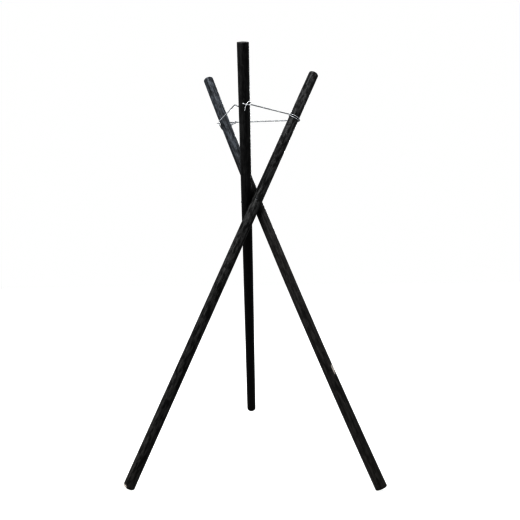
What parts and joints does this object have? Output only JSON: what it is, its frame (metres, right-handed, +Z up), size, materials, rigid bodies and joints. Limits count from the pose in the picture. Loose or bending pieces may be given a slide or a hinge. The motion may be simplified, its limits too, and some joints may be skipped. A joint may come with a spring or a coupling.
{
  "type": "folding pole tripod stand",
  "caption": "Tripod stand of straight round black poles that cross and pivot on screws two thirds of the way up, spread and held by a wire tied round them above the crossing.",
  "frame": {"origin": "on the floor, under the middle of the stand's outline seen from above", "axes": "+Z up; +X to the right and +Y away from the viewer when the back pole's foot is furthest away and its top leans towards the viewer"},
  "size_m": [0.615, 0.6379, 1.0825],
  "materials": {
    "pole_paint": "thin satin black paint brushed on turned wood, grain showing through, worn to bare wood at chipped rims",
    "screw_paint": "steel screw head painted over in black, worn bright at the edge of the head",
    "wire_zinc": "dull galvanised steel wire"
  },
  "bodies": {
    "right_leg": {"right_pole": "pole_paint", "left_pivot_screw": "screw_paint", "back_pivot_screw": "screw_paint", "wire_hitch_on_right_pole": "wire_zinc"},
    "left_leg": {"left_pole": "pole_paint", "wire_turns_on_left_pole": "wire_zinc", "wire_span_left_to_right": "wire_zinc"},
    "back_leg": {"back_pole": "pole_paint", "wire_looping_end": "wire_zinc", "wire_crossing_end": "wire_zinc", "wire_span_back_to_left": "wire_zinc", "wire_span_right_to_back": "wire_zinc"}
  },
  "joints": [
    {"name": "left_leg_fold", "type": "hinge", "parent": "right_leg", "child": "left_leg", "pos_m": [0.01623, -0.08361, 0.68998], "axis": [-0.0582, -0.9604, 0.2724], "range_deg": [0, 38.7], "deforming": ["wire_span_left_to_right", "wire_span_back_to_left"]},
    {"name": "back_leg_fold", "type": "hinge", "parent": "right_leg", "child": "back_leg", "pos_m": [0.01071, -0.07921, 0.70434], "axis": [-0.8928, -0.3917, -0.2225], "range_deg": [0, 45.3], "deforming": ["wire_span_right_to_back"]}
  ],
  "couplings": [
    {"joint": "back_leg_fold", "follows": "left_leg_fold", "ratio": 1.168}
  ]
}
